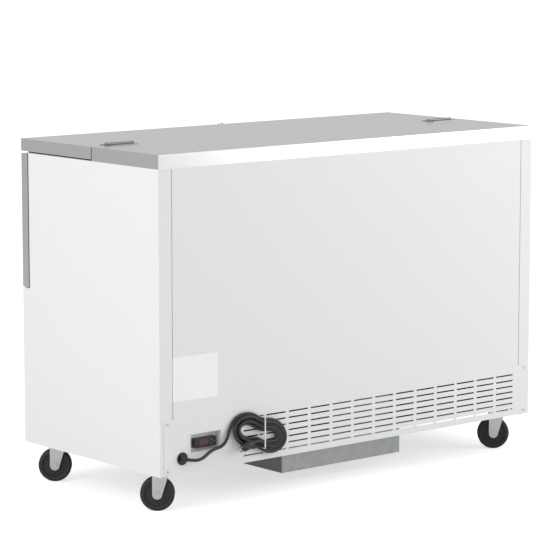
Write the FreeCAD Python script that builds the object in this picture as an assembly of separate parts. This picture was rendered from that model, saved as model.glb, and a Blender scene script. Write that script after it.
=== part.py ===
"""Drop-front chest cooler with a hinged half lid, on swivel casters.

Frame: millimetres, +Z up, +Y to the rear (the louvred side), +X to the right of someone facing the front door.
The origin lies on the floor under the middle of the overall box.
"""
import FreeCAD, Part
import math
import os

# ---------------------------------------------------------------- overall sizes
WIDTH = 1480.0            # side to side
DEPTH = 672.0             # door face to rear sheet
TOP_Z = 1035.0            # top of the lid and of the fixed rear top
SKIRT_Z = 114.0           # lower edge of the side panels
BASE_Z = 138.0            # underside of the base pan, where the casters bolt on
SHEET = 1.2               # folded sheet metal
SEAT = 0.3                # gap between parts that rest on each other across a joint

# ---------------------------------------------------------------- top, lid and door
LID_T = 37.0
LID_GASKET_T = 4.5
SPLIT_Y = 21.6            # line where the lid meets the fixed top
SPLIT_GAP = 3.0
DOOR_T = 32.0
DOOR_GASKET_T = 4.7
DOOR_Z0 = 589.0           # lower edge of the door
DOOR_TOP_GAP = 2.7        # door to lid gasket, lets the door's inner corner swing up
PANEL_GAP = 3.0           # door to lower front panel
GASKET_W = 14.0
GASKET_INSET = 9.0        # lid gasket to the lid's edge
DOOR_GASKET_EDGE = 1.0

# ---------------------------------------------------------------- well and walls
WALL_T = 60.0
FRONT_WALL_T = 50.0       # insulated wall behind the lower front panel
WELL_FLOOR_Z = 330.0
FLOOR_FOAM_T = 49.0
LINER_T = 1.0
BREAKER_T = 2.0
REAR_FLANGE = 45.0        # side panel wrapped round the rear corner
GROOVE = 3.0              # seam between side flange and rear panel
RACK_H = 22.0
RACK_BAR = 6.0            # square bar
RACK_OVERHANG = 20.0
RACK_END_GAP = 8.0
RACK_COUNT = 3
RACK_BARS = 13

# ---------------------------------------------------------------- louvred rear cover
COVER_PROUD = 3.0
COVER_INSET = 15.0
COVER_Z0 = 116.0
COVER_Z1 = 277.0
COVER_R = 9.0
COVER_LAP = 8.0           # rear panel's lower edge behind the cover
SLOT_COLUMNS = 13
SLOT_ROWS = 7
SLOT_PITCH_X = 85.7
SLOT_PITCH_Z = 18.4
SLOT_L = 74.0
SLOT_H = 4.3
SLOT_FIRST_X = 398.5      # centre of the first column
SLOT_FIRST_Z = 137.0      # centre of the lowest row
SCREW_R = 4.0
SCREW_H = 1.2

# ---------------------------------------------------------------- controller pocket
POCKET_X = 577.5
POCKET_Z = 199.0
POCKET_W = 116.0
POCKET_H = 57.0
POCKET_DEPTH = 27.0
BEZEL_RIM = 4.0
BEZEL_T = 1.4
POCKET_WALL = 1.6
CONTROL_X = 570.0
CONTROL_Z = 194.5
CONTROL_W = 78.0
CONTROL_H = 28.0
CONTROL_RECESS = 12.0     # faceplate below the bezel's face
CONTROL_CASE_DEPTH = 60.0
WINDOW_W = 33.0
WINDOW_H = 17.0
WINDOW_DX = 4.0
BUTTON_W = 7.0
BUTTON_H = 7.0
BUTTON_PROUD = 1.6
BUTTON_TRAVEL = 1.0
BUTTON_GAP = 0.3
BUTTON_POCKET = 3.0
BUTTONS = {"button_set": (-31.0, 0.0), "button_up": (-20.5, 5.6), "button_down": (-20.5, -5.6)}

# ---------------------------------------------------------------- hinges
HINGE_R = 4.0
HINGE_AXIS_OFF = 4.2      # axis height over the sheet it is screwed to
HINGE_PIN_R = 2.0
HINGE_PIN_GAP = 0.06
HINGE_KNUCKLES = 5
KNUCKLE_GAP = 0.4
LEAF_T = 2.0
LEAF_W = 27.0
LEAF_CLEAR = 0.6
HINGE_L = 102.0
HINGE_INSET = 50.0        # end of an outer hinge to the side of the cabinet
HINGE_SCREWS = 3
HINGE_SCREW_R = 4.0
HINGE_SCREW_H = 0.8

# ---------------------------------------------------------------- lid lock
LOCK_X = -18.0
LOCK_EDGE = 14.0          # lock axis to the lid's front edge
LOCK_BODY_R = 9.5
LOCK_FLANGE_R = 12.0
LOCK_FLANGE_H = 2.2
LOCK_PLUG_R = 6.0
LOCK_PLUG_PROUD = 2.4
LOCK_GAP = 0.08
KEY_SLOT = 2.2
LOCK_MARGIN = 2.0         # lock barrel to the gasket behind it
CAM_L = 12.5
CAM_W = 9.0
CAM_T = 1.8

# ---------------------------------------------------------------- drop pan and condensing unit
PAN_W = 475.0
PAN_D = 320.0
PAN_Z = 46.5
PAN_REAR_INSET = 60.0
PAN_T = 2.0
PAN_FLANGE = 20.0
BASE_T = 2.0
BASE_RIM = 16.0
COMPRESSOR_R = 72.0
COMPRESSOR_H = 185.0
COMPRESSOR_X = 140.0
FOOT_H = 12.0
COIL_W = 250.0
COIL_H = 190.0
COIL_T = 44.0
COIL_X = -85.0
SHROUD_GAP = 4.0
FAN_R = 82.0
FAN_T = 26.0
FAN_TIP_GAP = 6.0
FAN_HUB_R = 20.0
MOTOR_R = 32.0
MOTOR_L = 46.0
SHAFT_R = 4.0
SHAFT_GAP = 0.05
LINE_R = 4.0

# ---------------------------------------------------------------- evaporator in the well
EVAP_T = 95.0
EVAP_W = 320.0
EVAP_H = 330.0
EVAP_TOP_GAP = 70.0
EVAP_FAN_R = 80.0
EVAP_FAN_T = 22.0
EVAP_COIL_T = 38.0
EVAP_SHEET = 1.5
EVAP_MOTOR_R = 26.0
EVAP_MOTOR_L = 16.0
GUARD_ROD = 1.6           # half width of a guard bar

# ---------------------------------------------------------------- casters
WHEEL_R = 50.0
WHEEL_W = 32.0
WHEEL_EDGE = 5.0
WHEEL_WEB = 5.0           # depth of the moulded recess in each side
HUB_R = 13.0
HUB_PROUD = 1.5
BOLT_R = 5.0
BOLT_GAP = 0.06
BOLT_HEAD_R = 8.5
BOLT_HEAD_H = 5.0
CASTER_INSET = 64.0       # swivel axis to the side and to the rear or front of the body
CASTER_TRAIL = 20.0
CASTER_YAW = -40.0        # degrees from +X to the trailing side at rest
PLATE_X = 92.0
PLATE_Y = 66.0
PLATE_T = 4.0
RACE_R = 27.0
CROWN_R = 29.0
CROWN_T = 3.2
CROWN_Z = 121.0           # underside of the fork's crown
FORK_T = 2.6
FORK_GAP = 0.8
FORK_TOP_W = 52.0
FORK_END_W = 29.0
KING_R = 6.0
KING_GAP = 0.06
KING_HEAD_R = 10.0
KING_HEAD_H = 2.6

# ---------------------------------------------------------------- power cord
CORD_R = 4.75
GLAND_X = 663.0
GLAND_Z = 160.0
GLAND_R = 18.5
GLAND_H = 3.5
GLAND_HOLE_R = 15.5
BOOT_L = 22.0
HANK_R = 13.0
TIE_W = 4.0
TIE_T = 1.4
PLUG_L = 40.0
PLUG_R = 12.5
BLADE_L = 17.0
BLADE_W = 6.4
BLADE_T = 1.6
BLADE_PITCH = 12.7

# ---------------------------------------------------------------- worked out from the sizes above
HALF_W = WIDTH / 2
FRONT_PROUD = HINGE_AXIS_OFF + HINGE_R
REAR_PROUD = COVER_PROUD + BEZEL_T
FRONT_Y = FRONT_PROUD - (DEPTH + FRONT_PROUD + REAR_PROUD) / 2
REAR_Y = FRONT_Y + DEPTH
BODY_Y = FRONT_Y + DOOR_T + DOOR_GASKET_T + SEAT
LID_Z = TOP_Z - LID_T
LID_GASKET_Z = LID_Z - LID_GASKET_T
RIM_Z = LID_GASKET_Z - SEAT
DOOR_Z1 = LID_GASKET_Z - DOOR_TOP_GAP
PANEL_Z1 = DOOR_Z0 - PANEL_GAP
WELL_X = HALF_W - WALL_T
WELL_Y0 = BODY_Y + FRONT_WALL_T
WELL_Y1 = REAR_Y - WALL_T
FOAM_Z = WELL_FLOOR_Z - LINER_T - FLOOR_FOAM_T
FOAM_TOP = RIM_Z - BREAKER_T
COVER_FACE = REAR_Y + COVER_PROUD
BEZEL_FACE = COVER_FACE + BEZEL_T
CONTROL_FACE = BEZEL_FACE - CONTROL_RECESS
LID_Y0 = FRONT_Y
LID_Y1 = SPLIT_Y - SPLIT_GAP / 2
TOP_Y0 = SPLIT_Y + SPLIT_GAP / 2
LID_AXIS_Z = TOP_Z + HINGE_AXIS_OFF
DOOR_AXIS_Y = FRONT_Y - HINGE_AXIS_OFF
DOOR_AXIS_Z = DOOR_Z0 - PANEL_GAP / 2
PAN_Y1 = REAR_Y - PAN_REAR_INSET
PAN_Y0 = PAN_Y1 - PAN_D
PAN_FLOOR = PAN_Z + PAN_T
HANK_Y = COVER_FACE + SEAT + HANK_R
LOCK_Y = LID_Y0 + LOCK_EDGE

# The cord leaves the gland slantwise, lies along the cover and runs up into its hank.
CORD_ROUTE = [
    (658.0, COVER_FACE + 13.5, 158.8),
    (644.0, COVER_FACE + 22.0, 156.4),
    (624.0, COVER_FACE + 26.0, 154.2),
    (601.0, COVER_FACE + 21.5, 158.3),
    (578.0, COVER_FACE + 15.5, 168.0),
    (556.0, COVER_FACE + 12.5, 175.6),
    (534.0, COVER_FACE + 11.8, 177.3),
    (511.5, COVER_FACE + 12.0, 188.5),
    (497.8, COVER_FACE + 13.3, 211.0),
]

# Closed centre line of the hank: two lobes drawn together at the tie.
HANK_ROUTE = [
    (433.0, 256.5),
    (459.0, 251.0),
    (477.0, 234.0),
    (482.0, 210.0),
    (474.0, 185.5),
    (455.0, 169.5),
    (428.0, 170.0),
    (404.0, 178.5),
    (383.0, 176.5),
    (368.0, 157.0),
    (352.0, 138.5),
    (329.0, 133.5),
    (306.0, 143.0),
    (291.5, 163.0),
    (290.0, 188.0),
    (302.0, 212.0),
    (322.0, 226.5),
    (347.0, 228.5),
    (371.0, 224.0),
    (390.0, 235.5),
    (408.0, 250.5),
]
TIE_X = 377.0
TIE_ROWS = (1, 6)         # slot rows that the tie passes through, from the lowest
PLUG_TIP = (460.0, 168.5)
PLUG_TAIL = (421.5, 179.5)
PLUG_Y = HANK_Y + HANK_R + 2.0

X_AXIS = FreeCAD.Vector(1, 0, 0)
Y_AXIS = FreeCAD.Vector(0, 1, 0)
Z_AXIS = FreeCAD.Vector(0, 0, 1)


# ---------------------------------------------------------------- helpers
def vec(x, y, z):
    return FreeCAD.Vector(x, y, z)


def box(x0, x1, y0, y1, z0, z1):
    return Part.makeBox(x1 - x0, y1 - y0, z1 - z0, vec(x0, y0, z0))


def rod(start, end, radius):
    """Cylinder between two points."""
    run = end - start
    return Part.makeCylinder(radius, run.Length, start, run)


def fuse(shapes):
    joined = shapes[0].multiFuse(shapes[1:]) if len(shapes) > 1 else shapes[0]
    return joined.removeSplitter()


def cut(shape, tools):
    return shape.cut(Part.makeCompound(tools)).removeSplitter()


def round_edges(shape, radius, chosen):
    """Fillet the straight edges that the test picks by their two end points."""
    edges = []
    for edge in shape.Edges:
        if len(edge.Vertexes) == 2 and chosen(edge.Vertexes[0].Point, edge.Vertexes[1].Point):
            edges.append(edge)
    return shape.makeFillet(radius, edges)


def along(axis, start, end):
    """True for an edge that runs along one axis, given as 0, 1 or 2."""
    others = [index for index in range(3) if index != axis]
    return all(abs(start[index] - end[index]) < 1e-6 for index in others)


def prism(points, lift):
    """Solid from a closed outline of points, pushed along a vector."""
    wire = Part.makePolygon(points + [points[0]])
    return Part.Face(wire).extrude(lift)


def save(name, shape):
    solids = shape.Solids
    if not solids or not all(solid.isValid() for solid in solids):
        raise ValueError(name + " is not made of valid solids")
    shape.exportStep("parts/" + name + ".step")


def group(shapes):
    return Part.makeCompound(shapes)


# ---------------------------------------------------------------- cabinet shell
def make_base_pan():
    rim_x = HALF_W - SHEET
    rim_y0 = BODY_Y + SHEET
    rim_y1 = REAR_Y - SHEET
    outer = box(-rim_x, rim_x, rim_y0, rim_y1, BASE_Z, BASE_Z + BASE_RIM)
    inner = box(-rim_x + BASE_T, rim_x - BASE_T, rim_y0 + BASE_T, rim_y1 - BASE_T,
                BASE_Z + BASE_T, BASE_Z + BASE_RIM)
    opening = box(-PAN_W / 2, PAN_W / 2, PAN_Y0, PAN_Y1, BASE_Z, BASE_Z + BASE_T)
    return cut(outer, [inner, opening])


def make_side_panel(side):
    """Skin of one side with its front return and the flange wrapped round the rear corner."""
    outer_x = side * HALF_W
    skin_x = side * (HALF_W - SHEET)
    rear_x = side * (HALF_W - REAR_FLANGE)
    front_x = side * (WELL_X + LINER_T)
    outline = [
        vec(outer_x, BODY_Y, SKIRT_Z),
        vec(outer_x, REAR_Y, SKIRT_Z),
        vec(rear_x, REAR_Y, SKIRT_Z),
        vec(rear_x, REAR_Y - SHEET, SKIRT_Z),
        vec(skin_x, REAR_Y - SHEET, SKIRT_Z),
        vec(skin_x, BODY_Y + SHEET, SKIRT_Z),
        vec(front_x, BODY_Y + SHEET, SKIRT_Z),
        vec(front_x, BODY_Y, SKIRT_Z),
    ]
    return prism(outline, vec(0, 0, FOAM_TOP - SKIRT_Z))


def make_rear_panel():
    half = HALF_W - REAR_FLANGE - GROOVE
    return box(-half, half, REAR_Y - SHEET, REAR_Y, COVER_Z1 - COVER_LAP, FOAM_TOP)


def make_lower_front_panel():
    outer = box(-HALF_W, HALF_W, FRONT_Y, BODY_Y, SKIRT_Z, PANEL_Z1)
    outer = round_edges(outer, 1.0, lambda a, b: along(2, a, b) and abs(a.y - FRONT_Y) < 1e-6)
    inner = box(-HALF_W + SHEET, HALF_W - SHEET, FRONT_Y + SHEET, BODY_Y, SKIRT_Z + SHEET, PANEL_Z1 - SHEET)
    return cut(outer, [inner])


def make_foam_floor():
    return box(-WELL_X - LINER_T, WELL_X + LINER_T, WELL_Y0 - LINER_T, WELL_Y1 + LINER_T,
               FOAM_Z, WELL_FLOOR_Z - LINER_T)


def make_foam_side(side):
    low, high = sorted((side * (WELL_X + LINER_T), side * (HALF_W - SHEET)))
    return box(low, high, BODY_Y + SHEET, REAR_Y - SHEET, FOAM_Z, FOAM_TOP)


def make_foam_rear():
    return box(-WELL_X - LINER_T, WELL_X + LINER_T, WELL_Y1 + LINER_T, REAR_Y - SHEET, FOAM_Z, FOAM_TOP)


def make_foam_front():
    top = PANEL_Z1 - SHEET
    wall = box(-WELL_X - LINER_T, WELL_X + LINER_T, BODY_Y, WELL_Y0 - LINER_T, FOAM_Z, top)
    fill = box(-HALF_W + SHEET, HALF_W - SHEET, FRONT_Y + SHEET, BODY_Y, FOAM_Z, top)
    return fuse([wall, fill])


def make_well_liner():
    """Thin tub: four walls below the sill, three above it."""
    sill = PANEL_Z1 - SHEET
    out = LINER_T
    low = box(-WELL_X - out, WELL_X + out, WELL_Y0 - out, WELL_Y1 + out, WELL_FLOOR_Z - out, FOAM_TOP)
    high = box(-WELL_X - out, WELL_X + out, BODY_Y + SHEET, WELL_Y1 + out, sill, FOAM_TOP)
    hollow_low = box(-WELL_X, WELL_X, WELL_Y0, WELL_Y1, WELL_FLOOR_Z, FOAM_TOP)
    hollow_high = box(-WELL_X, WELL_X, BODY_Y, WELL_Y1, sill, FOAM_TOP)
    return cut(fuse([low, high]), [hollow_low, hollow_high])


def make_breaker_strips():
    """Rim caps on the side and rear walls, and the sill under the door."""
    right = box(WELL_X, HALF_W, BODY_Y, REAR_Y, FOAM_TOP, RIM_Z)
    left = box(-HALF_W, -WELL_X, BODY_Y, REAR_Y, FOAM_TOP, RIM_Z)
    rear = box(-WELL_X, WELL_X, WELL_Y1, REAR_Y, FOAM_TOP, RIM_Z)
    sill_z = PANEL_Z1 - SHEET
    sill = box(-WELL_X, WELL_X, BODY_Y, WELL_Y0 + BREAKER_T, sill_z, sill_z + BREAKER_T)
    nose = box(-WELL_X, WELL_X, WELL_Y0, WELL_Y0 + BREAKER_T, sill_z - GASKET_W, sill_z)
    return group([right, left, rear, fuse([sill, nose])])


def make_floor_rack(index):
    """Welded bar rack that keeps crates off the well floor."""
    pitch = (2 * WELL_X - EVAP_T - RACK_END_GAP) / RACK_COUNT
    x0 = -WELL_X + EVAP_T + RACK_END_GAP + index * pitch
    x1 = x0 + pitch - RACK_END_GAP
    y0 = WELL_Y0 + BREAKER_T + RACK_END_GAP
    y1 = WELL_Y1 - RACK_END_GAP
    top = WELL_FLOOR_Z + RACK_H
    bars = []
    for x in (x0 + RACK_OVERHANG, x1 - RACK_OVERHANG - RACK_BAR):
        bars.append(box(x, x + RACK_BAR, y0, y1, top - 1.5 * RACK_BAR, top - 0.5 * RACK_BAR))
        for y in (y0, y1 - RACK_BAR):
            bars.append(box(x, x + RACK_BAR, y, y + RACK_BAR, WELL_FLOOR_Z, top - RACK_BAR))
    for step in range(RACK_BARS):
        y = y0 + RACK_BAR * 2 + step * (y1 - y0 - 5 * RACK_BAR) / (RACK_BARS - 1)
        bars.append(box(x0, x1, y, y + RACK_BAR, top - RACK_BAR, top))
    return fuse(bars)


def make_fixed_top():
    """Insulated rear top: folded sheet over a core, closed below."""
    block = box(-HALF_W, HALF_W, TOP_Y0, REAR_Y, RIM_Z, TOP_Z)
    return round_edges(block, 1.5, lambda a, b: a.z > TOP_Z - 1e-6 and b.z > TOP_Z - 1e-6)


# ---------------------------------------------------------------- louvred rear cover
def slot_centre(column, row):
    return SLOT_FIRST_X - column * SLOT_PITCH_X, SLOT_FIRST_Z + row * SLOT_PITCH_Z


def make_rear_cover():
    """Shallow louvred pan with rounded corners, standing proud of the rear sheet."""
    half = HALF_W - COVER_INSET
    outer = box(-half, half, REAR_Y, COVER_FACE, COVER_Z0, COVER_Z1)
    outer = round_edges(outer, COVER_R, lambda a, b: along(1, a, b))
    inner = box(-half + SHEET, half - SHEET, REAR_Y, COVER_FACE - SHEET, COVER_Z0 + SHEET, COVER_Z1 - SHEET)
    inner = round_edges(inner, COVER_R - SHEET, lambda a, b: along(1, a, b))
    tools = [inner]
    for column in range(SLOT_COLUMNS):
        for row in range(SLOT_ROWS):
            x, z = slot_centre(column, row)
            tools.append(box(x - SLOT_L / 2, x + SLOT_L / 2, REAR_Y, COVER_FACE, z - SLOT_H / 2, z + SLOT_H / 2))
    tools.append(pocket_block(0.0, REAR_Y, COVER_FACE))
    tools.append(Part.makeCylinder(GLAND_HOLE_R, COVER_PROUD, vec(GLAND_X, REAR_Y, GLAND_Z), Y_AXIS))
    return cut(outer, tools)


def make_cover_screws():
    """Pan head screws along the cover's top and bottom edges and into its ends."""
    half = HALF_W - COVER_INSET
    heads = []
    for x in (-half + 10.0, half - 10.0):
        for z in (COVER_Z0 + 12.0, COVER_Z1 - 12.0):
            base = vec(x, COVER_FACE, z)
            heads.append(Part.makeCylinder(SCREW_R, SCREW_H, base, Y_AXIS))
    return group(heads)


# ---------------------------------------------------------------- controller pocket
def pocket_block(grow, y0, y1):
    return box(POCKET_X - POCKET_W / 2 - grow, POCKET_X + POCKET_W / 2 + grow, y0, y1,
               POCKET_Z - POCKET_H / 2 - grow, POCKET_Z + POCKET_H / 2 + grow)


def control_block(grow, y0, y1):
    return box(CONTROL_X - CONTROL_W / 2 - grow, CONTROL_X + CONTROL_W / 2 + grow, y0, y1,
               CONTROL_Z - CONTROL_H / 2 - grow, CONTROL_Z + CONTROL_H / 2 + grow)


def make_controller_pocket():
    """Moulded box sunk through the cover, with a thin rim lying on it."""
    back = BEZEL_FACE - POCKET_DEPTH
    rim = pocket_block(BEZEL_RIM, COVER_FACE, BEZEL_FACE)
    rim = round_edges(rim, 2.5, lambda a, b: along(1, a, b))
    shell = pocket_block(0.0, back - POCKET_WALL, COVER_FACE)
    hollow = pocket_block(-POCKET_WALL, back, BEZEL_FACE)
    window = control_block(-2.0, back - POCKET_WALL, back)
    return cut(fuse([rim, shell]), [hollow, window])


def button_place(name):
    dx, dz = BUTTONS[name]
    return CONTROL_X + dx, CONTROL_Z + dz


def make_controller_body():
    """Faceplate block on the pocket's back wall, with its case behind."""
    back = BEZEL_FACE - POCKET_DEPTH
    face = control_block(0.0, back, CONTROL_FACE)
    face = round_edges(face, 3.0, lambda a, b: along(1, a, b))
    case = control_block(-2.5, back - CONTROL_CASE_DEPTH, back)
    tools = []
    for name in BUTTONS:
        x, z = button_place(name)
        grow = BUTTON_GAP
        tools.append(box(x - BUTTON_W / 2 - grow, x + BUTTON_W / 2 + grow, CONTROL_FACE - BUTTON_POCKET,
                         CONTROL_FACE, z - BUTTON_H / 2 * 0.7 - grow, z + BUTTON_H / 2 * 0.7 + grow))
    x0 = CONTROL_X + WINDOW_DX - WINDOW_W / 2
    tools.append(box(x0, x0 + WINDOW_W, CONTROL_FACE - 1.0, CONTROL_FACE,
                     CONTROL_Z - WINDOW_H / 2, CONTROL_Z + WINDOW_H / 2))
    return cut(fuse([face, case]), tools)


def make_controller_window():
    x0 = CONTROL_X + WINDOW_DX - WINDOW_W / 2
    return box(x0, x0 + WINDOW_W, CONTROL_FACE - 1.0, CONTROL_FACE - 0.3,
               CONTROL_Z - WINDOW_H / 2, CONTROL_Z + WINDOW_H / 2)


def make_button(name):
    x, z = button_place(name)
    y0 = CONTROL_FACE - BUTTON_POCKET + BUTTON_TRAVEL + SEAT
    cap = box(x - BUTTON_W / 2, x + BUTTON_W / 2, y0, CONTROL_FACE + BUTTON_PROUD,
              z - BUTTON_H / 2 * 0.7, z + BUTTON_H / 2 * 0.7)
    return round_edges(cap, 1.2, lambda a, b: along(1, a, b))


# ---------------------------------------------------------------- hinges
def knuckle_spans(x0, owner):
    """Stretches of the barrel along X that belong to one leaf: 0 for the fixed one, 1 for the moving one."""
    pitch = HINGE_L / HINGE_KNUCKLES
    spans = []
    for index in range(HINGE_KNUCKLES):
        if index % 2 == owner:
            spans.append((x0 + index * pitch + KNUCKLE_GAP / 2, x0 + (index + 1) * pitch - KNUCKLE_GAP / 2))
    return spans


def make_hinge(x0, owner):
    """One leaf of a surface hinge in its own plane: barrel along X, leaf towards +Y, seat at Z = 0.

    The fixed leaf carries the pin.
    """
    axis_z = HINGE_AXIS_OFF
    parts = []
    clear = HINGE_R + LEAF_CLEAR
    plate = box(x0, x0 + HINGE_L, clear, LEAF_W, 0.0, LEAF_T)
    plate = round_edges(plate, 2.5, lambda a, b: along(2, a, b) and a.y > clear + 1.0)
    parts.append(plate)
    for low, high in knuckle_spans(x0, owner):
        parts.append(rod(vec(low, 0.0, axis_z), vec(high, 0.0, axis_z), HINGE_R))
        parts.append(box(low, high, SPLIT_GAP / 2, clear, 0.0, LEAF_T))
    leaf = fuse(parts)
    pin = rod(vec(x0 + 0.5, 0.0, axis_z), vec(x0 + HINGE_L - 0.5, 0.0, axis_z), HINGE_PIN_R)
    if owner == 0:
        leaf = fuse([leaf, pin])
    else:
        hole = rod(vec(x0, 0.0, axis_z), vec(x0 + HINGE_L, 0.0, axis_z), HINGE_PIN_R + HINGE_PIN_GAP)
        leaf = cut(leaf, [hole])
    heads = []
    for index in range(HINGE_SCREWS):
        x = x0 + HINGE_L * (index + 0.5) / HINGE_SCREWS
        y = (clear + LEAF_W) / 2
        heads.append(Part.makeCylinder(HINGE_SCREW_R, HINGE_SCREW_H + 0.2, vec(x, y, LEAF_T - 0.2), Z_AXIS))
    return fuse([leaf] + heads)


def lid_hinge_starts():
    return (-HALF_W + HINGE_INSET, HALF_W - HINGE_INSET - HINGE_L)


def door_hinge_starts():
    return (-HALF_W + HINGE_INSET, -HINGE_L / 2, HALF_W - HINGE_INSET - HINGE_L)


def make_lid_hinges(owner):
    """Fixed leaves lie on the fixed top behind the split, moving leaves on the lid in front of it."""
    leaves = []
    for x0 in lid_hinge_starts():
        leaf = make_hinge(x0, owner)
        if owner == 1:
            leaf = leaf.mirror(vec(0, 0, 0), Y_AXIS)
        leaf.translate(vec(0, SPLIT_Y, TOP_Z))
        leaves.append(leaf)
    return group(leaves)


def make_door_hinges(owner):
    """Fixed leaves lie on the lower front panel, moving leaves on the door above it."""
    leaves = []
    for x0 in door_hinge_starts():
        leaf = make_hinge(x0, owner)
        if owner == 0:
            leaf = leaf.mirror(vec(0, 0, 0), Y_AXIS)
        leaf.rotate(vec(0, 0, 0), X_AXIS, 90)
        leaf.translate(vec(0, FRONT_Y, DOOR_AXIS_Z))
        leaves.append(leaf)
    return group(leaves)


# ---------------------------------------------------------------- lid
def lid_block(grow, z0, z1):
    return box(-HALF_W - grow, HALF_W + grow, LID_Y0 - grow, LID_Y1 + grow, z0, z1)


def lock_hole(radius):
    return Part.makeCylinder(radius, LID_T, vec(LOCK_X, LOCK_Y, LID_Z), Z_AXIS)


def make_lid_skin():
    """Folded pan: top sheet and four turned-down edges."""
    outer = lid_block(0.0, LID_Z + SHEET, TOP_Z)
    outer = round_edges(outer, 1.5, lambda a, b: a.z > TOP_Z - 1e-6 and b.z > TOP_Z - 1e-6)
    inner = lid_block(-SHEET, LID_Z + SHEET, TOP_Z - SHEET)
    return cut(outer, [inner, lock_hole(LOCK_BODY_R)])


def make_lid_foam():
    return cut(lid_block(-SHEET, LID_Z + SHEET, TOP_Z - SHEET), [lock_hole(LOCK_BODY_R)])


def make_lid_liner():
    return cut(lid_block(0.0, LID_Z, LID_Z + SHEET), [lock_hole(LOCK_BODY_R)])


def make_lid_gasket():
    """Four bulb strips round the lid's underside, the front one behind the lock."""
    x = HALF_W - GASKET_INSET
    y0 = LOCK_Y + LOCK_BODY_R + LOCK_MARGIN
    y1 = LID_Y1 - GASKET_INSET
    strips = [box(side * x - GASKET_W * (side > 0), side * x + GASKET_W * (side < 0), y0, y1,
                  LID_GASKET_Z, LID_Z) for side in (-1, 1)]
    inner = x - GASKET_W
    strips.append(box(-inner, inner, y0, y0 + GASKET_W, LID_GASKET_Z, LID_Z))
    strips.append(box(-inner, inner, y1 - GASKET_W, y1, LID_GASKET_Z, LID_Z))
    return group(strips)


def make_lock_body():
    barrel = Part.makeCylinder(LOCK_BODY_R, LID_T, vec(LOCK_X, LOCK_Y, LID_Z), Z_AXIS)
    flange = Part.makeCylinder(LOCK_FLANGE_R, LOCK_FLANGE_H, vec(LOCK_X, LOCK_Y, TOP_Z), Z_AXIS)
    bore = Part.makeCylinder(LOCK_PLUG_R + LOCK_GAP, LID_T + LOCK_FLANGE_H, vec(LOCK_X, LOCK_Y, LID_Z), Z_AXIS)
    return cut(fuse([barrel, flange]), [bore])


def make_lock_plug():
    """Keyed plug with its cam turning in the gap under the lid, over the door's top edge."""
    head_z = TOP_Z + LOCK_FLANGE_H + LOCK_PLUG_PROUD
    cam_z = LID_Z - SEAT - CAM_T
    core = Part.makeCylinder(LOCK_PLUG_R, head_z - cam_z, vec(LOCK_X, LOCK_Y, cam_z), Z_AXIS)
    keyway = box(LOCK_X - KEY_SLOT / 2, LOCK_X + KEY_SLOT / 2, LOCK_Y - LOCK_PLUG_R * 0.7,
                 LOCK_Y + LOCK_PLUG_R * 0.7, head_z - 6.0, head_z)
    cam = box(LOCK_X, LOCK_X + CAM_L, LOCK_Y - CAM_W / 2, LOCK_Y + CAM_W / 2, cam_z, cam_z + CAM_T)
    cam = round_edges(cam, CAM_W * 0.45, lambda a, b: along(2, a, b) and a.x > LOCK_X + 1.0)
    return fuse([cut(core, [keyway]), cam])


# ---------------------------------------------------------------- door
def door_block(grow, y0, y1):
    return box(-HALF_W - grow, HALF_W + grow, y0, y1, DOOR_Z0 - grow, DOOR_Z1 + grow)


def make_door_skin():
    """Folded pan: outer sheet and four edges turned to the rear."""
    outer = door_block(0.0, FRONT_Y, FRONT_Y + DOOR_T - SHEET)
    outer = round_edges(outer, 1.5, lambda a, b: a.y < FRONT_Y + 1e-6 and b.y < FRONT_Y + 1e-6)
    inner = door_block(-SHEET, FRONT_Y + SHEET, FRONT_Y + DOOR_T - SHEET)
    return cut(outer, [inner])


def make_door_foam():
    return door_block(-SHEET, FRONT_Y + SHEET, FRONT_Y + DOOR_T - SHEET)


def make_door_liner():
    return door_block(0.0, FRONT_Y + DOOR_T - SHEET, FRONT_Y + DOOR_T)


def make_door_gasket():
    """Four bulb strips round the door's inner face."""
    y0 = FRONT_Y + DOOR_T
    y1 = y0 + DOOR_GASKET_T
    x = HALF_W - DOOR_GASKET_EDGE
    z0 = DOOR_Z0 + DOOR_GASKET_EDGE
    z1 = DOOR_Z1 - DOOR_GASKET_EDGE
    inner = x - GASKET_W
    strips = [box(inner, x, y0, y1, z0, z1), box(-x, -inner, y0, y1, z0, z1)]
    strips.append(box(-inner, inner, y0, y1, z0, z0 + GASKET_W))
    strips.append(box(-inner, inner, y0, y1, z1 - GASKET_W, z1))
    return group(strips)


# ---------------------------------------------------------------- drop pan and condensing unit
def make_drop_pan():
    """Pan hung under the base: it holds the condensing unit and catches defrost water."""
    outer = box(-PAN_W / 2, PAN_W / 2, PAN_Y0, PAN_Y1, PAN_Z, BASE_Z)
    flange = box(-PAN_W / 2 - PAN_FLANGE, PAN_W / 2 + PAN_FLANGE, PAN_Y0 - PAN_FLANGE, PAN_Y1 + PAN_FLANGE,
                 BASE_Z - PAN_T, BASE_Z)
    inner = box(-PAN_W / 2 + PAN_T, PAN_W / 2 - PAN_T, PAN_Y0 + PAN_T, PAN_Y1 - PAN_T, PAN_FLOOR, BASE_Z)
    return cut(fuse([outer, flange]), [inner])


def compressor_y():
    return PAN_Y0 + PAN_T + COMPRESSOR_R + 30.0


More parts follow.
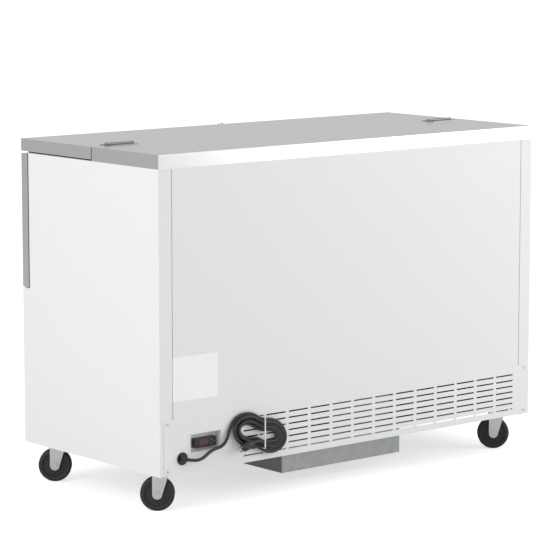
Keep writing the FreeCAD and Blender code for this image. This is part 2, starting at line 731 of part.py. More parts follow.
def make_compressor():
    """Domed can on a foot plate with rubber feet, and its terminal box."""
    y = compressor_y()
    z0 = PAN_FLOOR + FOOT_H
    can = Part.makeCylinder(COMPRESSOR_R, COMPRESSOR_H - FOOT_H, vec(COMPRESSOR_X, y, z0), Z_AXIS)
    can = can.makeFillet(30.0, [edge for edge in can.Edges if len(edge.Vertexes) == 1 or edge.Closed])
    reach = COMPRESSOR_R + 8.0
    plate = box(COMPRESSOR_X - reach, COMPRESSOR_X + reach, y - reach * 0.75, y + reach * 0.75, z0, z0 + 4.0)
    parts = [can, plate]
    for sx in (-1, 1):
        for sy in (-1, 1):
            foot = vec(COMPRESSOR_X + sx * (reach - 12.0), y + sy * (reach * 0.75 - 12.0), PAN_FLOOR)
            parts.append(Part.makeCylinder(9.0, FOOT_H, foot, Z_AXIS))
    mid = z0 + (COMPRESSOR_H - FOOT_H) / 2
    parts.append(box(COMPRESSOR_X - 30.0, COMPRESSOR_X + 30.0, y + COMPRESSOR_R - 12.0, y + COMPRESSOR_R + 22.0,
                     mid - 28.0, mid + 28.0))
    return fuse(parts)


def coil_faces():
    """Rear and front face of the condenser coil, just inside the drop pan's rear wall."""
    rear = PAN_Y1 - PAN_T - 12.0
    return rear - COIL_T, rear


def make_condenser_coil():
    y0, y1 = coil_faces()
    z0 = PAN_FLOOR
    z1 = PAN_FLOOR + COIL_H
    half = COIL_W / 2
    parts = [box(COIL_X - half, COIL_X + half, y0 + 3.0, y1 - 3.0, z0 + 6.0, z1 - 3.0)]
    for x in (COIL_X - half, COIL_X + half - 3.0):
        parts.append(box(x, x + 3.0, y0, y1, z0, z1))
    middle = (y0 + y1) / 2
    for level in range(6):
        z = z0 + 24.0 + level * 29.0
        parts.append(rod(vec(COIL_X + half, middle, z), vec(COIL_X + half + 8.0, middle, z), 4.5))
    return fuse(parts)


def fan_centre():
    y0, _ = coil_faces()
    return vec(COIL_X, y0 - SHROUD_GAP - FAN_T / 2 - 4.0, PAN_FLOOR + COIL_H / 2 + 2.0)


def make_condenser_shroud():
    """Ring plate in front of the coil, three arms and the fan motor with its shaft."""
    centre = fan_centre()
    y1, _ = coil_faces()
    half = COIL_W / 2
    y0 = centre.y - FAN_T / 2 - 2.0
    shell = box(COIL_X - half, COIL_X + half, y0, y1, PAN_FLOOR, PAN_FLOOR + COIL_H)
    hollow = Part.makeCylinder(FAN_R + FAN_TIP_GAP, y1 - y0, vec(centre.x, y0, centre.z), Y_AXIS)
    plate = cut(shell, [hollow])
    motor_y = y0 - 8.0
    parts = [plate, Part.makeCylinder(MOTOR_R, MOTOR_L, vec(centre.x, motor_y - MOTOR_L, centre.z), Y_AXIS)]
    arm_reach = FAN_R + FAN_TIP_GAP + 6.0
    for turn in (30.0, 150.0, 270.0):
        angle = math.radians(turn)
        arm = box(0.0, arm_reach, -6.0, 6.0, motor_y - 6.0, y0 + 0.5)
        arm = arm.cut(box(0.0, arm_reach - 8.0, -6.0, 6.0, motor_y, y0 + 0.5))
        placed = FreeCAD.Matrix()
        placed.A11, placed.A12, placed.A13, placed.A14 = math.cos(angle), -math.sin(angle), 0.0, centre.x
        placed.A21, placed.A22, placed.A23, placed.A24 = 0.0, 0.0, 1.0, 0.0
        placed.A31, placed.A32, placed.A33, placed.A34 = math.sin(angle), math.cos(angle), 0.0, centre.z
        parts.append(arm.transformGeometry(placed))
    parts.append(rod(vec(centre.x, motor_y, centre.z), vec(centre.x, centre.y + FAN_T / 2, centre.z), SHAFT_R))
    return fuse(parts)


def make_fan(centre, axis_name, radius, thick, hub_r, blades):
    """Hub and pitched blades, built about +Z and turned to the given axis."""
    hub = Part.makeCylinder(hub_r, thick * 0.8, vec(0, 0, -thick * 0.4), Z_AXIS)
    parts = [hub]
    for index in range(blades):
        chord = radius * 0.62
        blade = box(hub_r * 0.7, radius, -chord / 2, chord / 2, -0.9, 0.9)
        blade.rotate(vec(0, 0, 0), X_AXIS, 24)
        limit = Part.makeCylinder(radius, thick, vec(0, 0, -thick / 2), Z_AXIS)
        blade = blade.common(limit)
        blade.rotate(vec(0, 0, 0), Z_AXIS, index * 360.0 / blades)
        parts.append(blade)
    bore = Part.makeCylinder(SHAFT_R + SHAFT_GAP, thick, vec(0, 0, -thick / 2), Z_AXIS)
    fan = cut(fuse(parts), [bore])
    if axis_name == "y":
        fan.rotate(vec(0, 0, 0), X_AXIS, -90)
    else:
        fan.rotate(vec(0, 0, 0), Y_AXIS, 90)
    fan.translate(centre)
    return fan


def make_refrigerant_lines():
    """Filter drier and the copper lines between the compressor, the coil and the foam."""
    y = compressor_y()
    y0, y1 = coil_faces()
    middle = (y0 + y1) / 2
    coil_side = COIL_X + COIL_W / 2 + 8.0
    low = PAN_FLOOR + 24.0
    high = PAN_FLOOR + 24.0 + 5 * 29.0
    top = PAN_FLOOR + COMPRESSOR_H
    up = top + 12.0
    corner = vec(coil_side + 8.0, middle, high)
    runs = [
        rod(vec(COMPRESSOR_X + 20.0, y, top), vec(COMPRESSOR_X + 20.0, y, up), LINE_R),
        rod(vec(COMPRESSOR_X + 20.0, y, up), vec(coil_side + 8.0, middle, up), LINE_R),
        rod(vec(coil_side + 8.0, middle, up), corner, LINE_R),
        rod(corner, vec(coil_side, middle, high), LINE_R),
        Part.makeSphere(LINE_R, vec(COMPRESSOR_X + 20.0, y, up)),
        Part.makeSphere(LINE_R, vec(coil_side + 8.0, middle, up)),
        Part.makeSphere(LINE_R, corner),
    ]
    drier_x = coil_side + 20.0
    drier = rod(vec(drier_x, middle, low), vec(drier_x, middle, low + 70.0), 11.0)
    runs_low = [
        rod(vec(coil_side, middle, low), vec(drier_x, middle, low), LINE_R),
        drier,
        rod(vec(drier_x, middle, low + 70.0), vec(drier_x, middle, FOAM_Z), LINE_R),
    ]
    return group([fuse(runs), fuse(runs_low)])


# ---------------------------------------------------------------- evaporator
def evap_centre():
    z = RIM_Z - EVAP_TOP_GAP - EVAP_H / 2
    return vec(-WELL_X, (WELL_Y0 + WELL_Y1) / 2 + 20.0, z)


def make_evaporator_housing():
    """Sheet box on the left wall with a round outlet, closed by a rod guard."""
    centre = evap_centre()
    x0 = centre.x
    x1 = x0 + EVAP_T
    y0 = centre.y - EVAP_W / 2
    y1 = centre.y + EVAP_W / 2
    z0 = centre.z - EVAP_H / 2
    z1 = centre.z + EVAP_H / 2
    outer = box(x0, x1, y0, y1, z0, z1)
    outer = round_edges(outer, 6.0, lambda a, b: a.x > x1 - 1e-6 and b.x > x1 - 1e-6)
    inner = box(x0, x1 - EVAP_SHEET, y0 + EVAP_SHEET, y1 - EVAP_SHEET, z0 + EVAP_SHEET, z1 - EVAP_SHEET)
    outlet_r = EVAP_FAN_R + FAN_TIP_GAP
    tools = [inner, Part.makeCylinder(outlet_r, EVAP_T, vec(x0, centre.y, centre.z), X_AXIS)]
    for index in range(9):
        z = z0 + 14.0 + index * 5.6
        tools.append(box(x1 - 10.0, x1, y0 + 30.0, y1 - 30.0, z, z + 2.8))
    shell = cut(outer, tools)
    rods = []
    guard_x = x1 - GUARD_ROD
    for radius in (22.0, 44.0, 66.0, outlet_r + GUARD_ROD):
        disc = Part.makeCylinder(radius + GUARD_ROD, 2 * GUARD_ROD, vec(guard_x, centre.y, centre.z), X_AXIS)
        hole = Part.makeCylinder(radius - GUARD_ROD, 2 * GUARD_ROD, vec(guard_x, centre.y, centre.z), X_AXIS)
        rods.append(disc.cut(hole))
    for turn in (0.0, 60.0, 120.0):
        spoke = box(guard_x, guard_x + 2 * GUARD_ROD, centre.y - outlet_r - GUARD_ROD,
                    centre.y + outlet_r + GUARD_ROD, centre.z - GUARD_ROD, centre.z + GUARD_ROD)
        spoke.rotate(vec(x1, centre.y, centre.z), X_AXIS, turn)
        rods.append(spoke)
    return fuse([shell] + rods)


def make_evaporator_coil():
    """Finned block on the well wall with the fan motor and its shaft in front."""
    centre = evap_centre()
    x0 = centre.x
    x1 = x0 + EVAP_COIL_T
    block = box(x0, x1, centre.y - EVAP_W / 2 + 20.0, centre.y + EVAP_W / 2 - 20.0,
                centre.z - EVAP_H / 2 + 20.0, centre.z + EVAP_H / 2 - 20.0)
    motor = Part.makeCylinder(EVAP_MOTOR_R, EVAP_MOTOR_L, vec(x1, centre.y, centre.z), X_AXIS)
    tip = x1 + EVAP_MOTOR_L + 4.0 + EVAP_FAN_T
    shaft = rod(vec(x1, centre.y, centre.z), vec(tip, centre.y, centre.z), SHAFT_R)
    return fuse([block, motor, shaft])


def evap_fan_centre():
    centre = evap_centre()
    return vec(centre.x + EVAP_COIL_T + EVAP_MOTOR_L + 2.0 + EVAP_FAN_T / 2, centre.y, centre.z)


# ---------------------------------------------------------------- casters
def caster_places():
    """Swivel axis of each caster, named by corner as seen from the front."""
    x = HALF_W - CASTER_INSET
    front = BODY_Y + CASTER_INSET
    rear = REAR_Y - CASTER_INSET
    return {"front_right": (x, front), "front_left": (-x, front), "rear_right": (x, rear), "rear_left": (-x, rear)}


def make_caster_plate():
    """Mounting plate, race boss, king pin and four bolt heads, about the swivel axis."""
    plate = box(-PLATE_X / 2, PLATE_X / 2, -PLATE_Y / 2, PLATE_Y / 2, BASE_Z - PLATE_T, BASE_Z)
    plate = round_edges(plate, 8.0, lambda a, b: along(2, a, b))
    crown_top = CROWN_Z + CROWN_T
    race_z = crown_top + SEAT
    race = Part.makeCylinder(RACE_R, BASE_Z - PLATE_T - race_z, vec(0, 0, race_z), Z_AXIS)
    head_z = CROWN_Z - SEAT - KING_HEAD_H
    king = Part.makeCylinder(KING_R, race_z - head_z, vec(0, 0, head_z), Z_AXIS)
    head = Part.makeCylinder(KING_HEAD_R, KING_HEAD_H, vec(0, 0, head_z), Z_AXIS)
    parts = [plate, race, king, head]
    for sx in (-1, 1):
        for sy in (-1, 1):
            place = vec(sx * (PLATE_X / 2 - 10.0), sy * (PLATE_Y / 2 - 10.0), BASE_Z - PLATE_T - 4.0)
            parts.append(Part.makeCylinder(6.0, 4.0, place, Z_AXIS))
    return fuse(parts)


def make_caster_fork():
    """Crown with two tapered legs and the axle bolt; the wheel trails towards +X."""
    crown = Part.makeCylinder(CROWN_R, CROWN_T, vec(0, 0, CROWN_Z), Z_AXIS)
    inner = WHEEL_W / 2 + HUB_PROUD + FORK_GAP
    outer = inner + FORK_T
    end = CASTER_TRAIL + FORK_END_W / 2
    start = end - FORK_TOP_W
    shoulder = box(start, end, -outer, outer, CROWN_Z, CROWN_Z + CROWN_T)
    parts = [crown, shoulder]
    for side in (-1, 1):
        y = side * inner if side > 0 else -outer
        outline = [vec(start, y, CROWN_Z + CROWN_T), vec(end, y, CROWN_Z + CROWN_T), vec(end, y, WHEEL_R),
                   vec(CASTER_TRAIL - FORK_END_W / 2, y, WHEEL_R)]
        parts.append(prism(outline, vec(0, FORK_T, 0)))
        parts.append(Part.makeCylinder(FORK_END_W / 2, FORK_T, vec(CASTER_TRAIL, y, WHEEL_R), Y_AXIS))
    bolt_half = outer + BOLT_HEAD_H
    parts.append(Part.makeCylinder(BOLT_R, 2 * outer, vec(CASTER_TRAIL, -outer, WHEEL_R), Y_AXIS))
    for y in (-bolt_half, outer):
        parts.append(Part.makeCylinder(BOLT_HEAD_R, BOLT_HEAD_H, vec(CASTER_TRAIL, y, WHEEL_R), Y_AXIS))
    hole = Part.makeCylinder(KING_R + KING_GAP, CROWN_T, vec(0, 0, CROWN_Z), Z_AXIS)
    return cut(fuse(parts), [hole])


def make_caster_wheel():
    """Tyre and moulded hub, turned about the axle."""
    half = WHEEL_W / 2
    hub = half + HUB_PROUD
    web = half - WHEEL_WEB
    bore = BOLT_R + BOLT_GAP
    rim = WHEEL_R - 13.0
    side = [(bore, hub), (HUB_R, hub), (HUB_R, web), (rim, web), (rim, half - 1.0), (rim + 3.0, half),
            (WHEEL_R - WHEEL_EDGE, half), (WHEEL_R - WHEEL_EDGE * 0.3, half - WHEEL_EDGE * 0.3),
            (WHEEL_R, half - WHEEL_EDGE)]
    outline = [vec(r, y, 0.0) for r, y in side] + [vec(r, -y, 0.0) for r, y in reversed(side)]
    face = Part.Face(Part.makePolygon(outline + [outline[0]]))
    wheel = face.revolve(vec(0, 0, 0), Y_AXIS, 360)
    wheel.translate(vec(CASTER_TRAIL, 0, WHEEL_R))
    return wheel


def place_caster(shape, x, y, yaw):
    placed = shape.copy()
    placed.rotate(vec(0, 0, 0), Z_AXIS, yaw)
    placed.translate(vec(x, y, 0))
    return placed


# ---------------------------------------------------------------- power cord
def route_wire(points, closed):
    """Straight runs joined by tangent arcs; each arc is as large as its two runs allow."""
    count = len(points)
    first = 0 if closed else 1
    last = count if closed else count - 1
    arcs = []
    radii = []
    for index in range(first, last):
        before = points[index - 1]
        here = points[index]
        after = points[(index + 1) % count]
        back = before - here
        ahead = after - here
        tangent = 0.45 * min(back.Length, ahead.Length)
        turn = math.pi - back.getAngle(ahead)
        radius = tangent / math.tan(turn / 2)
        radii.append(round(radius, 1))
        back.normalize()
        ahead.normalize()
        inward = back + ahead
        inward.normalize()
        centre_far = radius / math.cos(turn / 2)
        middle = here + inward * (centre_far - radius)
        arcs.append((here + back * tangent, middle, here + ahead * tangent))
    edges = []
    if not closed:
        edges.append(Part.LineSegment(points[0], arcs[0][0]).toShape())
    for index, arc in enumerate(arcs):
        edges.append(Part.Arc(arc[0], arc[1], arc[2]).toShape())
        if index + 1 < len(arcs):
            edges.append(Part.LineSegment(arc[2], arcs[index + 1][0]).toShape())
    if closed:
        edges.append(Part.LineSegment(arcs[-1][2], arcs[0][0]).toShape())
    else:
        edges.append(Part.LineSegment(arcs[-1][2], points[-1]).toShape())
    return Part.Wire(edges), radii


def sweep(points, radius, closed, label):
    wire, radii = route_wire(points, closed)
    start = wire.Edges[0].valueAt(wire.Edges[0].FirstParameter)
    heading = wire.Edges[0].tangentAt(wire.Edges[0].FirstParameter)
    profile = Part.Wire([Part.makeCircle(radius, start, heading)])
    tube = wire.makePipeShell([profile], True, False)
    expected = math.pi * radius * radius * wire.Length
    print(f"{label}: length {wire.Length:.1f} mm, volume ratio {tube.Volume / expected:.4f}, radii {radii}")
    return tube


def make_cord_lead():
    return sweep([vec(*point) for point in CORD_ROUTE], CORD_R, False, "cord_lead")


def make_cord_hank():
    return sweep([vec(x, HANK_Y, z) for x, z in HANK_ROUTE], HANK_R, True, "cord_hank")


def make_cord_gland():
    """Round bushing in the cover with a short slanted strain relief."""
    base = vec(GLAND_X, COVER_FACE, GLAND_Z)
    disc = Part.makeCylinder(GLAND_R, GLAND_H, base, Y_AXIS)
    disc = disc.makeFillet(1.5, [edge for edge in disc.Edges if edge.Closed and edge.CenterOfMass.y > base.y + 1.0])
    neck_y = REAR_Y - 0.8 * SHEET
    neck = Part.makeCylinder(GLAND_HOLE_R - 0.4, base.y - neck_y, vec(GLAND_X, neck_y, GLAND_Z), Y_AXIS)
    end = vec(*CORD_ROUTE[0])
    heading = vec(*CORD_ROUTE[1]) - end
    heading.normalize()
    boot = Part.makeCone(CORD_R * 1.75, CORD_R * 1.15, BOOT_L, end - heading * (BOOT_L - 5.0), heading)
    behind = box(GLAND_X - 60.0, GLAND_X + 60.0, COVER_FACE - 60.0, COVER_FACE, GLAND_Z - 60.0, GLAND_Z + 60.0)
    return fuse([disc, neck, boot.cut(behind)])


def make_cord_tie():
    """Flat tie round the two strands at the waist, threaded through two louvre slots."""
    _, low = slot_centre(0, TIE_ROWS[0])
    _, high = slot_centre(0, TIE_ROWS[1])
    front = HANK_Y + HANK_R + SEAT + TIE_T
    back = COVER_FACE - SHEET - SEAT - TIE_T
    outer = box(TIE_X - TIE_W / 2, TIE_X + TIE_W / 2, back, front, low - TIE_T / 2, high + TIE_T / 2)
    inner = box(TIE_X - TIE_W / 2, TIE_X + TIE_W / 2, back + TIE_T, front - TIE_T,
                low + TIE_T / 2, high - TIE_T / 2)
    return cut(outer, [inner])


def plug_frame():
    """Tip, tail and heading of the plug's body, which lies across the front of the hank."""
    tip = vec(PLUG_TIP[0], PLUG_Y, PLUG_TIP[1])
    tail = vec(PLUG_TAIL[0], PLUG_Y, PLUG_TAIL[1])
    heading = tip - tail
    heading.normalize()
    return tip, tail, heading


def make_plug_body():
    tip, tail, heading = plug_frame()
    face = Part.makeCylinder(PLUG_R, PLUG_L * 0.45, tip - heading * PLUG_L * 0.45, heading)
    neck = Part.makeCone(CORD_R * 1.2, PLUG_R, PLUG_L * 0.55, tip - heading * PLUG_L, heading)
    return fuse([face, neck])


def make_plug_blades():
    """Two flat blades and a round ground pin."""
    tip, _, heading = plug_frame()
    across = heading.cross(Y_AXIS)
    blades = []
    for side in (-1, 1):
        block = box(0.0, BLADE_L, -BLADE_W / 2, BLADE_W / 2, -BLADE_T / 2, BLADE_T / 2)
        block.translate(vec(0.0, 0.0, side * BLADE_PITCH / 2))
        placed = FreeCAD.Matrix()
        placed.A11, placed.A12, placed.A13, placed.A14 = heading.x, 0.0, across.x, tip.x
        placed.A21, placed.A22, placed.A23, placed.A24 = heading.y, 1.0, across.y, tip.y + 2.5
        placed.A31, placed.A32, placed.A33, placed.A34 = heading.z, 0.0, across.z, tip.z
        blades.append(block.transformGeometry(placed))
    ground = Part.makeCylinder(2.4, BLADE_L + 3.0, tip - Y_AXIS * 7.0, heading)
    return group(blades + [ground])


# ---------------------------------------------------------------- build
def build_cabinet():
    save("base_pan", make_base_pan())
    save("side_panel_right", make_side_panel(1))
    save("side_panel_left", make_side_panel(-1))
    save("rear_panel", make_rear_panel())
    save("lower_front_panel", make_lower_front_panel())
    save("foam_floor", make_foam_floor())
    save("foam_right", make_foam_side(1))
    save("foam_left", make_foam_side(-1))
    save("foam_rear", make_foam_rear())
    save("foam_front", make_foam_front())
    save("well_liner", make_well_liner())
    save("breaker_strips", make_breaker_strips())
    save("floor_racks", group([make_floor_rack(index) for index in range(RACK_COUNT)]))
    save("fixed_top", make_fixed_top())
    save("rear_cover", make_rear_cover())
    save("cover_screws", make_cover_screws())


def build_controller():
    save("controller_pocket", make_controller_pocket())
    save("controller_body", make_controller_body())
    save("controller_window", make_controller_window())
    for name in BUTTONS:
        save(name, make_button(name))


def build_lid_and_door():
    save("lid_hinge_fixed", make_lid_hinges(0))
    save("lid_hinge_moving", make_lid_hinges(1))
    save("lid_skin", make_lid_skin())
    save("lid_foam", make_lid_foam())
    save("lid_liner", make_lid_liner())
    save("lid_gasket", make_lid_gasket())
    save("lock_body", make_lock_body())
    save("lock_plug", make_lock_plug())
    save("door_hinge_fixed", make_door_hinges(0))
    save("door_hinge_moving", make_door_hinges(1))
    save("door_skin", make_door_skin())
    save("door_foam", make_door_foam())
    save("door_liner", make_door_liner())
    save("door_gasket", make_door_gasket())


def build_cooling():
    save("drop_pan", make_drop_pan())
    save("compressor", make_compressor())
    save("condenser_coil", make_condenser_coil())
    save("condenser_shroud", make_condenser_shroud())
    save("condenser_fan", make_fan(fan_centre(), "y", FAN_R, FAN_T, FAN_HUB_R, 4))
    save("refrigerant_lines", make_refrigerant_lines())
    save("evaporator_housing", make_evaporator_housing())
    save("evaporator_coil", make_evaporator_coil())
    save("evaporator_fan", make_fan(evap_fan_centre(), "x", EVAP_FAN_R, EVAP_FAN_T, FAN_HUB_R * 0.8, 5))


def build_casters():
    plate = make_caster_plate()
    fork = make_caster_fork()
    wheel = make_caster_wheel()
    places = caster_places()
    save("caster_plates", group([place_caster(plate, x, y, 0.0) for x, y in places.values()]))
    for corner, (x, y) in places.items():
        save("caster_fork_" + corner, place_caster(fork, x, y, CASTER_YAW))
        save("caster_wheel_" + corner, place_caster(wheel, x, y, CASTER_YAW))


def build_cord():
    save("cord_gland", make_cord_gland())
    save("cord_lead", make_cord_lead())
    save("cord_hank", make_cord_hank())
    save("cord_tie", make_cord_tie())
    save("plug_body", make_plug_body())
    save("plug_blades", make_plug_blades())


def main():
    os.makedirs("parts", exist_ok=True)
    build_cabinet()
    build_controller()
    build_lid_and_door()
    build_cooling()
    build_casters()
    build_cord()
    print("built", len(os.listdir("parts")), "parts")


main()
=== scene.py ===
"""Looks of a drop-front chest cooler, seen from behind: looks only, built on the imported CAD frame, in metres."""
import math

import bpy
from mathutils import Matrix, Vector


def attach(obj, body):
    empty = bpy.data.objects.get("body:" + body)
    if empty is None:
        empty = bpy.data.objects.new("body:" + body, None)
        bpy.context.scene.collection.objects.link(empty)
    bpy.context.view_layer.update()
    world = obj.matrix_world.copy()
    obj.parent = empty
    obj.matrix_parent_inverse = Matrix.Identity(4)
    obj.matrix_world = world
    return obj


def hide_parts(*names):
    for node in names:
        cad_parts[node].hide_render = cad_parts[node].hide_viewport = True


LENS_MM = 172.6
AZIMUTH = math.radians(140.0)
ELEVATION = math.radians(8.2)
DISTANCE = 8.1224
TARGET = Vector((0.0323, 0.0014, 0.5939))

COVER_FACE = 0.3409
REAR_FACE = 0.3379
CORD_DIAMETER = 0.0095
LEAD = [(0.6580, 0.3544, 0.1588), (0.6440, 0.3629, 0.1564), (0.6240, 0.3669, 0.1542), (0.6010, 0.3624, 0.1583),
        (0.5780, 0.3564, 0.1680), (0.5560, 0.3534, 0.1756), (0.5340, 0.3527, 0.1773), (0.5115, 0.3529, 0.1885)]
PLUG_TAIL = (0.4215, 0.3692, 0.1795)
HANK_TURNS = 4.62
HANK_STEPS = 16
HANK_CENTRE = (0.3855, 0.1990)
HANK_TILT = math.radians(18.0)
HANK_REACH = 0.0930       # half length of a middle turn
HANK_HALF = 0.0470        # half height of a middle turn
FIRST_OUTSET = 0.0160     # how much bigger the outermost turn is
TURN_STEP = 0.0080        # how much each turn shrinks
HEIGHT_SHARE = 0.95       # share of that which the height takes
WAIST_DEPTH = 0.0200      # how far the tie draws each side in
WAIST_SPREAD = 0.035
STRAND_LIFT = 0.0063      # middle of the back strand over the cover
LAYER_HALF = 0.0040       # half the rise from one layer to the next
PLUG_APPROACH = 0.55      # share of the way from the last turn to the plug
PLUG_RUN_IN = (-0.0120, 0.0030)
CARD_LOW = (0.5297, REAR_FACE, 0.3257)
CARD_HIGH = (0.6937, REAR_FACE + 0.0006, 0.4537)
FLOOR_SIZE = 120.0
FLOOR_LIFT = 0.62
SKY_FILL = 0.72
SKY_SEEN = 1.05


def look(name, colour, rough, metal=0.0, grain=(60.0, 60.0, 60.0), vary=0.06, bump=0.05, coat=0.0):
    """Principled surface whose colour, roughness and height vary with one noise in object space."""
    mat = bpy.data.materials.new("look_" + name)
    mat.use_nodes = True
    tree = mat.node_tree
    shader = tree.nodes["Principled BSDF"]
    shader.inputs["Metallic"].default_value = metal
    shader.inputs["Coat Weight"].default_value = coat
    coords = tree.nodes.new("ShaderNodeTexCoord")
    stretch = tree.nodes.new("ShaderNodeMapping")
    stretch.inputs["Scale"].default_value = grain
    noise = tree.nodes.new("ShaderNodeTexNoise")
    noise.inputs["Scale"].default_value = 1.0
    noise.inputs["Detail"].default_value = 4.0
    tree.links.new(coords.outputs["Object"], stretch.inputs["Vector"])
    tree.links.new(stretch.outputs["Vector"], noise.inputs["Vector"])
    ramp = tree.nodes.new("ShaderNodeMix")
    ramp.data_type = "RGBA"
    ramp.inputs[6].default_value = (*[c * (1.0 - vary) for c in colour], 1.0)
    ramp.inputs[7].default_value = (*[min(1.0, c * (1.0 + vary)) for c in colour], 1.0)
    tree.links.new(noise.outputs["Fac"], ramp.inputs[0])
    tree.links.new(ramp.outputs[2], shader.inputs["Base Color"])
    spread = tree.nodes.new("ShaderNodeMapRange")
    spread.inputs["To Min"].default_value = rough * 0.85
    spread.inputs["To Max"].default_value = min(1.0, rough * 1.15)
    tree.links.new(noise.outputs["Fac"], spread.inputs["Value"])
    tree.links.new(spread.outputs["Result"], shader.inputs["Roughness"])
    relief = tree.nodes.new("ShaderNodeBump")
    relief.inputs["Strength"].default_value = bump
    relief.inputs["Distance"].default_value = 0.0005
    tree.links.new(noise.outputs["Fac"], relief.inputs["Height"])
    tree.links.new(relief.outputs["Normal"], shader.inputs["Normal"])
    return mat


def make_looks():
    return {
        "painted": look("painted", (0.80, 0.81, 0.82), 0.38, grain=(500, 500, 500), vary=0.01, bump=0.10),
        "stainless": look("stainless", (0.62, 0.63, 0.64), 0.30, 1.0, (3, 400, 400), 0.05, 0.12),
        "galvanised": look("galvanised", (0.40, 0.41, 0.42), 0.45, 1.0, (45, 45, 45), 0.18, 0.05),
        "zinc": look("zinc", (0.62, 0.62, 0.60), 0.28, 1.0, (90, 90, 90), 0.08, 0.04),
        # hinge_steel is stainless steel darkened to about half its colour: painted shade for the knuckle's shadow
        # side
        "hinge_steel": look("hinge_steel", (0.30, 0.30, 0.31), 0.38, 1.0, (300, 30, 30), 0.08, 0.08),
        "foam": look("foam", (0.50, 0.48, 0.42), 0.90, grain=(220, 220, 220), vary=0.10, bump=0.5),
        "liner": look("liner", (0.74, 0.75, 0.76), 0.33, 1.0, (250, 250, 4), 0.04, 0.08),
        "white_plastic": look("white_plastic", (0.78, 0.79, 0.80), 0.42, grain=(400, 400, 400), vary=0.02),
        "gasket": look("gasket", (0.035, 0.035, 0.038), 0.65, grain=(300, 300, 300), vary=0.15, bump=0.2),
        "black_plastic": look("black_plastic", (0.016, 0.016, 0.018), 0.42, grain=(700, 700, 700), bump=0.25),
        "window": look("window", (0.075, 0.006, 0.009), 0.12, grain=(30, 30, 30), coat=0.8, bump=0.0),
        "button": look("button", (0.10, 0.10, 0.105), 0.50, grain=(700, 700, 700), bump=0.2),
        "rack_wire": look("rack_wire", (0.74, 0.75, 0.76), 0.40, grain=(150, 150, 150), vary=0.04, bump=0.1),
        "compressor_black": look("compressor_black", (0.02, 0.02, 0.022), 0.35, grain=(250, 250, 250), bump=0.2),
        "coil_fin": look("coil_fin", (0.55, 0.56, 0.57), 0.40, 1.0, (6, 700, 6), 0.30, 0.6),
        "copper": look("copper", (0.66, 0.33, 0.20), 0.30, 1.0, (60, 60, 60), 0.14, 0.05),
        "fan_blade": look("fan_blade", (0.58, 0.59, 0.60), 0.36, 1.0, (200, 200, 20), 0.05, 0.06),
        "wheel": look("wheel", (0.018, 0.018, 0.020), 0.55, grain=(180, 180, 180), vary=0.20, bump=0.25),
        "cord": look("cord", (0.022, 0.022, 0.024), 0.50, grain=(400, 400, 400), vary=0.15, bump=0.2),
        "card": look("card", (0.93, 0.93, 0.93), 0.60, grain=(300, 300, 300), vary=0.01, bump=0.02),
        "tie": look("tie", (0.75, 0.75, 0.72), 0.50, grain=(300, 300, 300), vary=0.04, bump=0.1),
        "brass": look("brass", (0.72, 0.62, 0.38), 0.25, 1.0, (150, 150, 150), 0.06, 0.04),
        "screw": look("screw", (0.62, 0.63, 0.64), 0.30, 1.0, (200, 200, 200), 0.06, 0.05),
    }


def hank_point(turn):
    """Point on the cord after that many turns: loops that shrink inwards, drawn together at the tie."""
    angle = 2.0 * math.pi * turn
    inset = FIRST_OUTSET - TURN_STEP * turn
    along = math.cos(angle) * (HANK_REACH + inset)
    waist = math.exp(-(along / WAIST_SPREAD) ** 2)
    across = math.sin(angle) * (HANK_HALF + inset * HEIGHT_SHARE - WAIST_DEPTH * waist)
    x = HANK_CENTRE[0] + along * math.cos(HANK_TILT) - across * math.sin(HANK_TILT)
    z = HANK_CENTRE[1] + along * math.sin(HANK_TILT) + across * math.cos(HANK_TILT)
    y = COVER_FACE + STRAND_LIFT + LAYER_HALF * (1.0 - math.cos(math.pi * turn))
    return x, y, z


def make_cord(material):
    points = list(LEAD)
    steps = int(HANK_TURNS * HANK_STEPS)
    points += [hank_point(index / HANK_STEPS) for index in range(steps + 1)]
    end = points[-1]
    points.append(tuple(a + (b - a) * PLUG_APPROACH for a, b in zip(end, PLUG_TAIL)))
    points.append((PLUG_TAIL[0] + PLUG_RUN_IN[0], PLUG_TAIL[1], PLUG_TAIL[2] + PLUG_RUN_IN[1]))
    points.append(PLUG_TAIL)
    curve = bpy.data.curves.new("power_cord", "CURVE")
    curve.dimensions = "3D"
    curve.bevel_depth = CORD_DIAMETER / 2.0
    curve.bevel_resolution = 5
    curve.use_fill_caps = True
    spline = curve.splines.new("NURBS")
    spline.points.add(len(points) - 1)
    for slot, place in zip(spline.points, points):
        slot.co = (*place, 1.0)
    spline.order_u = 3
    spline.use_endpoint_u = True
    spline.resolution_u = 6
    cord = bpy.data.objects.new("power_cord", curve)
    bpy.context.collection.objects.link(cord)
    curve.materials.append(material)
    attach(cord, "cabinet")
    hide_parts("cord_lead", "cord_hank")


def make_block(name, low, high, material, body):
    """Box with softened edges that rides on a body."""
    size = [b - a for a, b in zip(low, high)]
    bpy.ops.mesh.primitive_cube_add(size=1.0, location=[(a + b) / 2.0 for a, b in zip(low, high)])
    block = bpy.context.object
    block.name = name
    block.scale = size
    bpy.ops.object.transform_apply(location=False, rotation=False, scale=True)
    edge = block.modifiers.new("edge", "BEVEL")
    edge.width = min(size) * 0.3
    block.data.materials.append(material)
    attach(block, body)


def add_light(name, place, aim, size, watts):
    data = bpy.data.lights.new(name, "AREA")
    data.size = size
    data.energy = watts
    lamp = bpy.data.objects.new(name, data)
    bpy.context.collection.objects.link(lamp)
    lamp.location = place
    lamp.rotation_euler = (Vector(aim) - Vector(place)).to_track_quat("-Z", "Y").to_euler()


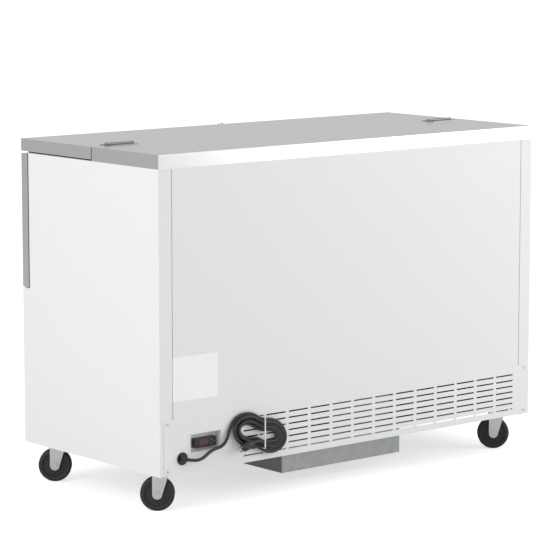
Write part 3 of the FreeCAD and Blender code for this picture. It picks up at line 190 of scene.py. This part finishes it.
def make_stage():
    bpy.ops.mesh.primitive_plane_add(size=FLOOR_SIZE, location=(0, 0, 0))
    floor = bpy.context.object
    floor.name = "floor"
    mat = bpy.data.materials.new("look_floor")
    mat.use_nodes = True
    tree = mat.node_tree
    shader = tree.nodes["Principled BSDF"]
    shader.inputs["Base Color"].default_value = (0.80, 0.80, 0.80, 1.0)
    shader.inputs["Roughness"].default_value = 0.9
    shader.inputs["Specular IOR Level"].default_value = 0.0
    path = tree.nodes.new("ShaderNodeLightPath")
    lift = tree.nodes.new("ShaderNodeMath")
    lift.operation = "MULTIPLY"
    lift.inputs[1].default_value = FLOOR_LIFT
    shader.inputs["Emission Color"].default_value = (1.0, 1.0, 1.0, 1.0)
    tree.links.new(path.outputs["Is Camera Ray"], lift.inputs[0])
    tree.links.new(lift.outputs["Value"], shader.inputs["Emission Strength"])
    floor.data.materials.append(mat)
    world = bpy.data.worlds.new("studio")
    bpy.context.scene.world = world
    world.use_nodes = True
    tree = world.node_tree
    sky = tree.nodes["Background"]
    sky.inputs["Color"].default_value = (1.0, 1.0, 1.0, 1.0)
    path = tree.nodes.new("ShaderNodeLightPath")
    level = tree.nodes.new("ShaderNodeMapRange")
    level.inputs["To Min"].default_value = SKY_FILL
    level.inputs["To Max"].default_value = SKY_SEEN
    tree.links.new(path.outputs["Is Camera Ray"], level.inputs["Value"])
    tree.links.new(level.outputs["Result"], sky.inputs["Strength"])
    add_light("side_light", (4.2, 0.4, 2.2), (0.7, 0.0, 0.6), 2.6, 62.0)
    add_light("rear_light", (-3.2, 3.2, 1.6), (-0.5, 0.3, 0.5), 2.4, 58.0)


def make_camera():
    back = Vector((math.sin(AZIMUTH) * math.cos(ELEVATION), -math.cos(AZIMUTH) * math.cos(ELEVATION),
                   math.sin(ELEVATION)))
    right = Vector((math.cos(AZIMUTH), math.sin(AZIMUTH), 0.0))
    up = back.cross(right)
    data = bpy.data.cameras.new("camera")
    data.lens = LENS_MM
    data.sensor_width = 36.0
    camera = bpy.data.objects.new("camera", data)
    bpy.context.collection.objects.link(camera)
    turn = Matrix((right, up, back)).transposed().to_4x4()
    camera.matrix_world = Matrix.Translation(TARGET + back * DISTANCE) @ turn
    bpy.context.scene.camera = camera


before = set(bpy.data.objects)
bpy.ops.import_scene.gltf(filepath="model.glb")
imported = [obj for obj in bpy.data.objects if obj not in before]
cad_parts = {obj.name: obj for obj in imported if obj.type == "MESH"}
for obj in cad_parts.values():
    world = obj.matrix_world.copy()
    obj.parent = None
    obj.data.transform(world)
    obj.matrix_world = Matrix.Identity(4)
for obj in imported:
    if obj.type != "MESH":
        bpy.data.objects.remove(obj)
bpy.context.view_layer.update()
bpy.context.scene.view_settings.view_transform = "Standard"
make_camera()
looks = make_looks()
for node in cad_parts.values():
    for place in node.material_slots:
        place.material = looks[place.material.name.split(".")[0]]
make_cord(looks["cord"])
make_block("blank_card", CARD_LOW, CARD_HIGH, looks["card"], "cabinet")
make_stage()
